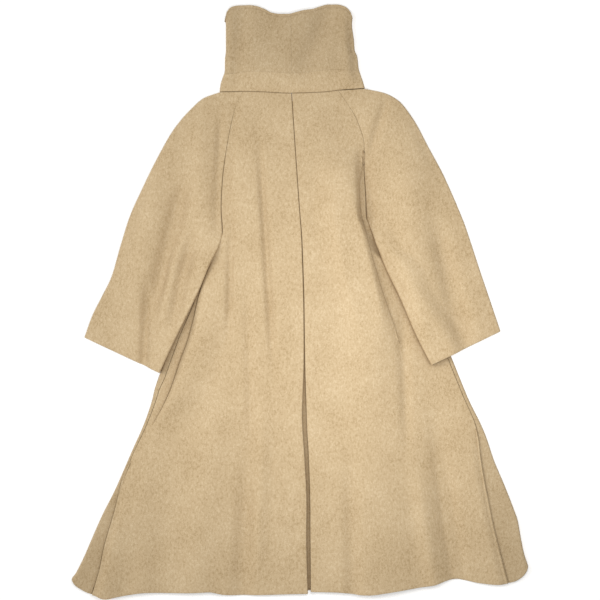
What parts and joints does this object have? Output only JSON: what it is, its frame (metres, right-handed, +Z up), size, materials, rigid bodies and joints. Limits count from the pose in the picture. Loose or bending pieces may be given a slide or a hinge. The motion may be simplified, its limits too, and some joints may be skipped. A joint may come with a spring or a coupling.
{
  "type": "swing coat",
  "caption": "Flared swing coat with a tall standing collar, raglan sleeves and a centre back pleat, laid flat on its front",
  "frame": {"origin": "centre of the bounding box, on the surface that the coat lies on", "axes": "+Y up the coat to its collar, +X to the wearer's right, +Z up out of its back"},
  "size_m": [0.9115, 1.1975, 0.022],
  "materials": {
    "wool": "napped camel wool, matt"
  },
  "bodies": {
    "root": {"back_left": "wool", "back_right": "wool", "collar_left": "wool", "collar_right": "wool", "collar_stand": "wool", "front_left": "wool", "front_right": "wool", "pleat_underlay": "wool", "sleeve_left": "wool", "sleeve_right": "wool"}
  },
  "joints": []
}
